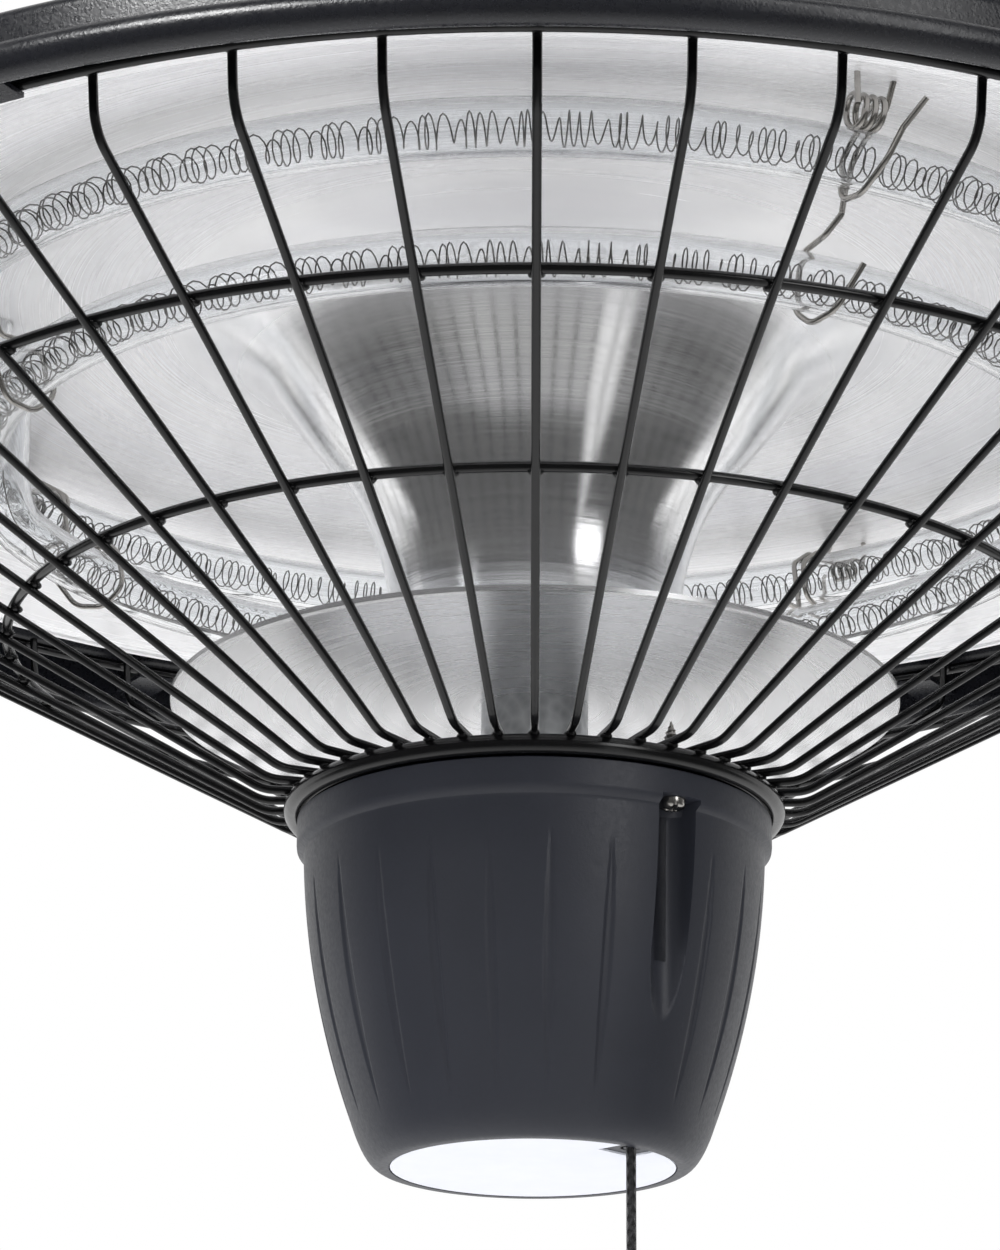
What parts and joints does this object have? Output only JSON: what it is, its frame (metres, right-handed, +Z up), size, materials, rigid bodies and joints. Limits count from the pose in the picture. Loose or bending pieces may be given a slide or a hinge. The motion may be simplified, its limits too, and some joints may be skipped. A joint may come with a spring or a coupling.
{
  "type": "ceiling infrared heater",
  "caption": "Round ceiling-hung infrared heater with a spun hood, ring quartz tubes, a conical wire grille and a pull-cord switch.",
  "frame": {"origin": "centre of the hole in the hanging lug, where the ceiling hook bears", "axes": "+Z up along the heater's axis, -Y towards the side the picture shows, +X to the right there"},
  "size_m": [0.425, 0.425, 0.3902],
  "materials": {
    "hood_powder": "fine textured powder coat",
    "gloss_black": "gloss",
    "steel": "plain",
    "zinc_steel": "zinc plated",
    "spun_aluminium": "bright, spun",
    "polished_aluminium": "mirror polished",
    "quartz": "clear",
    "filament": "dull resistance wire",
    "ceramic": "glazed ceramic",
    "spring_steel": "stainless spring wire",
    "housing_plastic": "fine texture",
    "label_film": "bare white film",
    "black_plastic": "satin",
    "white_plastic": "satin",
    "cord_braid": "braided"
  },
  "bodies": {
    "heater": {"hood": "hood_powder", "grille_clips": "hood_powder", "grille_rivets": "steel", "hanging_lug": "zinc_steel", "lug_washer": "zinc_steel", "tie_rod": "zinc_steel", "hood_nut": "zinc_steel", "reflector_nut": "zinc_steel", "base_nut": "zinc_steel", "reflector": "spun_aluminium", "mirror_disc": "polished_aluminium", "lower_spacer": "zinc_steel", "upper_spacer": "zinc_steel", "quartz_tube_outer": "quartz", "quartz_tube_inner": "quartz", "filament_outer": "filament", "filament_inner": "filament", "ceramic_caps": "ceramic", "tube_clips": "spring_steel", "grille_ring_plate": "gloss_black", "grille_wires": "gloss_black", "grille_hoop_upper": "gloss_black", "grille_hoop_lower": "gloss_black", "grille_outer_ring": "gloss_black", "switch_housing": "housing_plastic", "housing_screws": "steel", "housing_label": "label_film", "cord_bush": "black_plastic", "switch_body": "black_plastic", "lever_pin": "steel", "cable_gland": "black_plastic", "gland_nut": "black_plastic", "terminal_block": "white_plastic", "block_screws": "steel"},
    "lever": {"switch_lever": "white_plastic"},
    "pull": {"pull_cord": "cord_braid", "cord_ferrule": "steel", "pull_knob": "black_plastic"}
  },
  "joints": [
    {"name": "cord_pull", "type": "slide", "parent": "heater", "child": "pull", "axis": [0, 0, -1], "range_m": [0, 0.012], "stiffness_N_per_m": 600, "springref_m": -0.002},
    {"name": "lever_swing", "type": "hinge", "parent": "heater", "child": "lever", "pos_m": [0.00546, -0.00521, -0.22251], "axis": [0.6903, 0.7236, 0], "range_deg": [0, 35]}
  ],
  "couplings": [
    {"joint": "lever_swing", "follows": "cord_pull", "rad_per_m": 50.905}
  ]
}
